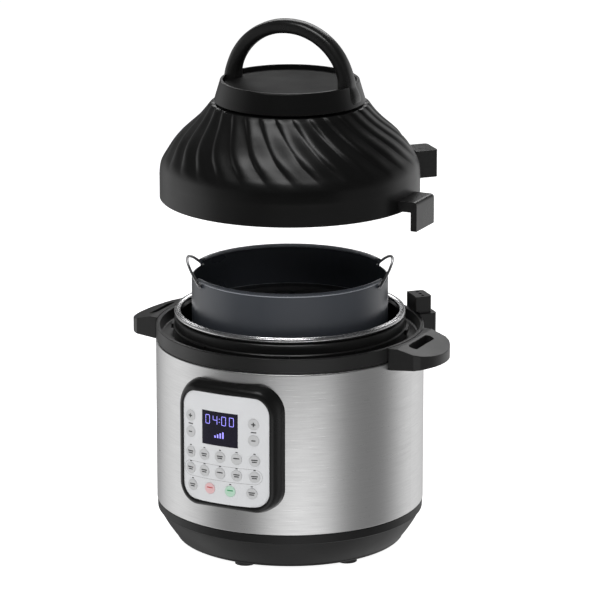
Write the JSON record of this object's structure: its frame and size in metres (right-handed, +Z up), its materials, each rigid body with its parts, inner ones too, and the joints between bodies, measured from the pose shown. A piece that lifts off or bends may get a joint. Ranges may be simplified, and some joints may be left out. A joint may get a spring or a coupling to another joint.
{
  "type": "electric pressure cooker",
  "caption": "Electric pressure cooker with steel shell, control panel, inner pot, crisping basket and a domed air-frying lid, shown lifted apart.",
  "frame": {"origin": "on the surface the feet stand on, at the cooker's vertical centre line", "axes": "+Z up, the control panel faces -Y, the side handles lie along X"},
  "size_m": [0.3724, 0.3259, 0.5835],
  "materials": {
    "brushed_steel_band": "fine horizontal brushing, satin",
    "black_housing": "satin moulded polypropylene",
    "black_gloss": "semi-gloss moulded plastic",
    "lid_black": "satin black with soft sheen",
    "lid_plate": "matt black",
    "rubber": "matt rubber",
    "lock_black": "semi-gloss black ring",
    "polished_steel": "polished stainless rim, satin inside",
    "sheet_steel": "plain pressed steel",
    "cast_aluminium": "machined cast aluminium",
    "spring_steel": "bright spring wire",
    "coil_steel": "dark oxidised sheath",
    "basket_coat": "dark grey non-stick coating",
    "panel_silver": "silver printed face",
    "display_glass": "dark window with lit digits",
    "key_grey": "light grey key",
    "key_red": "pale red key",
    "key_green": "pale green key",
    "circuit_board": "green board",
    "brass_pins": "plated contacts",
    "fan_metal": "pressed sheet",
    "steel_parts": "zinc plated",
    "cup_plastic": "translucent smoke plastic"
  },
  "bodies": {
    "cooker": {"base_housing": "black_housing", "base_screws": "steel_parts", "control_board": "circuit_board", "cup_bracket": "black_gloss", "display_window": "display_glass", "heating_plate": "cast_aluminium", "inlet_blades": "brass_pins", "left_handle": "black_housing", "lid_power_socket": "black_housing", "locking_ring": "lock_black", "outer_pot": "sheet_steel", "outer_shell": "brushed_steel_band", "panel_bezel": "black_gloss", "panel_faceplate": "panel_silver", "power_board": "circuit_board", "power_inlet": "black_gloss", "right_handle": "black_housing", "rubber_feet": "rubber", "sensor_spring": "spring_steel", "top_housing": "black_housing"},
    "inner_pot": {"inner_pot": "polished_steel"},
    "basket": {"basket": "basket_coat", "basket_base": "basket_coat"},
    "broil_tray": {"broil_tray": "basket_coat"},
    "left_wire_handle": {"left_wire_handle": "spring_steel"},
    "right_wire_handle": {"right_wire_handle": "spring_steel"},
    "lid": {"lid_shell": "lid_black", "lid_collar": "black_gloss", "lid_top_plate": "lid_plate", "lid_handle": "black_gloss", "lid_hook": "black_gloss", "lid_plug_hood": "black_gloss", "lid_plug_pins": "brass_pins", "lid_liner": "sheet_steel", "heating_coil": "coil_steel", "element_guard": "spring_steel", "fan_motor": "steel_parts"},
    "fan_rotor": {"convection_fan": "fan_metal", "fan_shaft": "steel_parts", "cooling_fan": "fan_metal"},
    "temperature_sensor": {"temperature_sensor": "cast_aluminium"},
    "condensation_cup": {"condensation_cup": "cup_plastic"},
    "touch_key_cancel": {"touch_key_cancel": "key_red"},
    "touch_key_delay": {"touch_key_delay": "key_grey"},
    "touch_key_keep_warm": {"touch_key_keep_warm": "key_grey"},
    "touch_key_left_minus": {"touch_key_left_minus": "key_grey"},
    "touch_key_left_plus": {"touch_key_left_plus": "key_grey"},
    "touch_key_lower_1": {"touch_key_lower_1": "key_grey"},
    "touch_key_lower_2": {"touch_key_lower_2": "key_grey"},
    "touch_key_lower_3": {"touch_key_lower_3": "key_grey"},
    "touch_key_lower_4": {"touch_key_lower_4": "key_grey"},
    "touch_key_lower_5": {"touch_key_lower_5": "key_grey"},
    "touch_key_right_minus": {"touch_key_right_minus": "key_grey"},
    "touch_key_right_plus": {"touch_key_right_plus": "key_grey"},
    "touch_key_start": {"touch_key_start": "key_green"},
    "touch_key_upper_1": {"touch_key_upper_1": "key_grey"},
    "touch_key_upper_2": {"touch_key_upper_2": "key_grey"},
    "touch_key_upper_3": {"touch_key_upper_3": "key_grey"},
    "touch_key_upper_4": {"touch_key_upper_4": "key_grey"},
    "touch_key_upper_5": {"touch_key_upper_5": "key_grey"}
  },
  "joints": [
    {"name": "pot_lift", "type": "slide", "parent": "cooker", "child": "inner_pot", "axis": [0, 0, 1], "range_m": [0, 0.19]},
    {"name": "basket_lift", "type": "slide", "parent": "inner_pot", "child": "basket", "axis": [0, 0, 1], "range_m": [-0.0645, 0.12]},
    {"name": "lid_lift", "type": "slide", "parent": "basket", "child": "lid", "axis": [0, 0, 1], "range_m": [-0.0765, 0.05]},
    {"name": "broil_tray_lift", "type": "slide", "parent": "basket", "child": "broil_tray", "axis": [0, 0, 1], "range_m": [0, 0.03]},
    {"name": "fan_spin", "type": "hinge", "parent": "lid", "child": "fan_rotor", "pos_m": [0, 0, 0.447], "axis": [0, 0, 1], "continuous": true},
    {"name": "sensor_press", "type": "slide", "parent": "cooker", "child": "temperature_sensor", "axis": [0, 0, 1], "range_m": [-0.003, 0], "stiffness_N_per_m": 400, "deforming": ["sensor_spring"]},
    {"name": "condensation_cup_slide", "type": "slide", "parent": "cooker", "child": "condensation_cup", "axis": [0, 1, 0], "range_m": [0, 0.03]},
    {"name": "left_wire_handle_fold", "type": "hinge", "parent": "basket", "child": "left_wire_handle", "pos_m": [-0.0874, -0.04263, 0.297], "axis": [0.4384, -0.8988, 0], "range_deg": [-4, 14]},
    {"name": "right_wire_handle_fold", "type": "hinge", "parent": "basket", "child": "right_wire_handle", "pos_m": [0.0874, 0.04263, 0.297], "axis": [-0.4384, 0.8988, 0], "range_deg": [-4, 14]},
    {"name": "touch_key_cancel_press", "type": "slide", "parent": "cooker", "child": "touch_key_cancel", "axis": [0.0943, 0.9955, 0], "range_m": [0, 0.0005], "stiffness_N_per_m": 300},
    {"name": "touch_key_delay_press", "type": "slide", "parent": "cooker", "child": "touch_key_delay", "axis": [-0.1857, 0.9826, 0], "range_m": [0, 0.0005], "stiffness_N_per_m": 300},
    {"name": "touch_key_keep_warm_press", "type": "slide", "parent": "cooker", "child": "touch_key_keep_warm", "axis": [0.2229, 0.9749, 0], "range_m": [0, 0.0005], "stiffness_N_per_m": 300},
    {"name": "touch_key_left_minus_press", "type": "slide", "parent": "cooker", "child": "touch_key_left_minus", "axis": [0.2371, 0.9715, 0], "range_m": [0, 0.0005], "stiffness_N_per_m": 300},
    {"name": "touch_key_left_plus_press", "type": "slide", "parent": "cooker", "child": "touch_key_left_plus", "axis": [0.2371, 0.9715, 0], "range_m": [0, 0.0005], "stiffness_N_per_m": 300},
    {"name": "touch_key_lower_1_press", "type": "slide", "parent": "cooker", "child": "touch_key_lower_1", "axis": [0.2371, 0.9715, 0], "range_m": [0, 0.0005], "stiffness_N_per_m": 300},
    {"name": "touch_key_lower_2_press", "type": "slide", "parent": "cooker", "child": "touch_key_lower_2", "axis": [0.1343, 0.9909, 0], "range_m": [0, 0.0005], "stiffness_N_per_m": 300},
    {"name": "touch_key_lower_3_press", "type": "slide", "parent": "cooker", "child": "touch_key_lower_3", "axis": [0.0229, 0.9997, 0], "range_m": [0, 0.0005], "stiffness_N_per_m": 300},
    {"name": "touch_key_lower_4_press", "type": "slide", "parent": "cooker", "child": "touch_key_lower_4", "axis": [-0.0886, 0.9961, 0], "range_m": [0, 0.0005], "stiffness_N_per_m": 300},
    {"name": "touch_key_lower_5_press", "type": "slide", "parent": "cooker", "child": "touch_key_lower_5", "axis": [-0.2029, 0.9792, 0], "range_m": [0, 0.0005], "stiffness_N_per_m": 300},
    {"name": "touch_key_right_minus_press", "type": "slide", "parent": "cooker", "child": "touch_key_right_minus", "axis": [-0.1971, 0.9804, 0], "range_m": [0, 0.0005], "stiffness_N_per_m": 300},
    {"name": "touch_key_right_plus_press", "type": "slide", "parent": "cooker", "child": "touch_key_right_plus", "axis": [-0.1971, 0.9804, 0], "range_m": [0, 0.0005], "stiffness_N_per_m": 300},
    {"name": "touch_key_start_press", "type": "slide", "parent": "cooker", "child": "touch_key_start", "axis": [-0.0457, 0.999, 0], "range_m": [0, 0.0005], "stiffness_N_per_m": 300},
    {"name": "touch_key_upper_1_press", "type": "slide", "parent": "cooker", "child": "touch_key_upper_1", "axis": [0.2371, 0.9715, 0], "range_m": [0, 0.0005], "stiffness_N_per_m": 300},
    {"name": "touch_key_upper_2_press", "type": "slide", "parent": "cooker", "child": "touch_key_upper_2", "axis": [0.1343, 0.9909, 0], "range_m": [0, 0.0005], "stiffness_N_per_m": 300},
    {"name": "touch_key_upper_3_press", "type": "slide", "parent": "cooker", "child": "touch_key_upper_3", "axis": [0.0229, 0.9997, 0], "range_m": [0, 0.0005], "stiffness_N_per_m": 300},
    {"name": "touch_key_upper_4_press", "type": "slide", "parent": "cooker", "child": "touch_key_upper_4", "axis": [-0.0886, 0.9961, 0], "range_m": [0, 0.0005], "stiffness_N_per_m": 300},
    {"name": "touch_key_upper_5_press", "type": "slide", "parent": "cooker", "child": "touch_key_upper_5", "axis": [-0.2029, 0.9792, 0], "range_m": [0, 0.0005], "stiffness_N_per_m": 300}
  ]
}
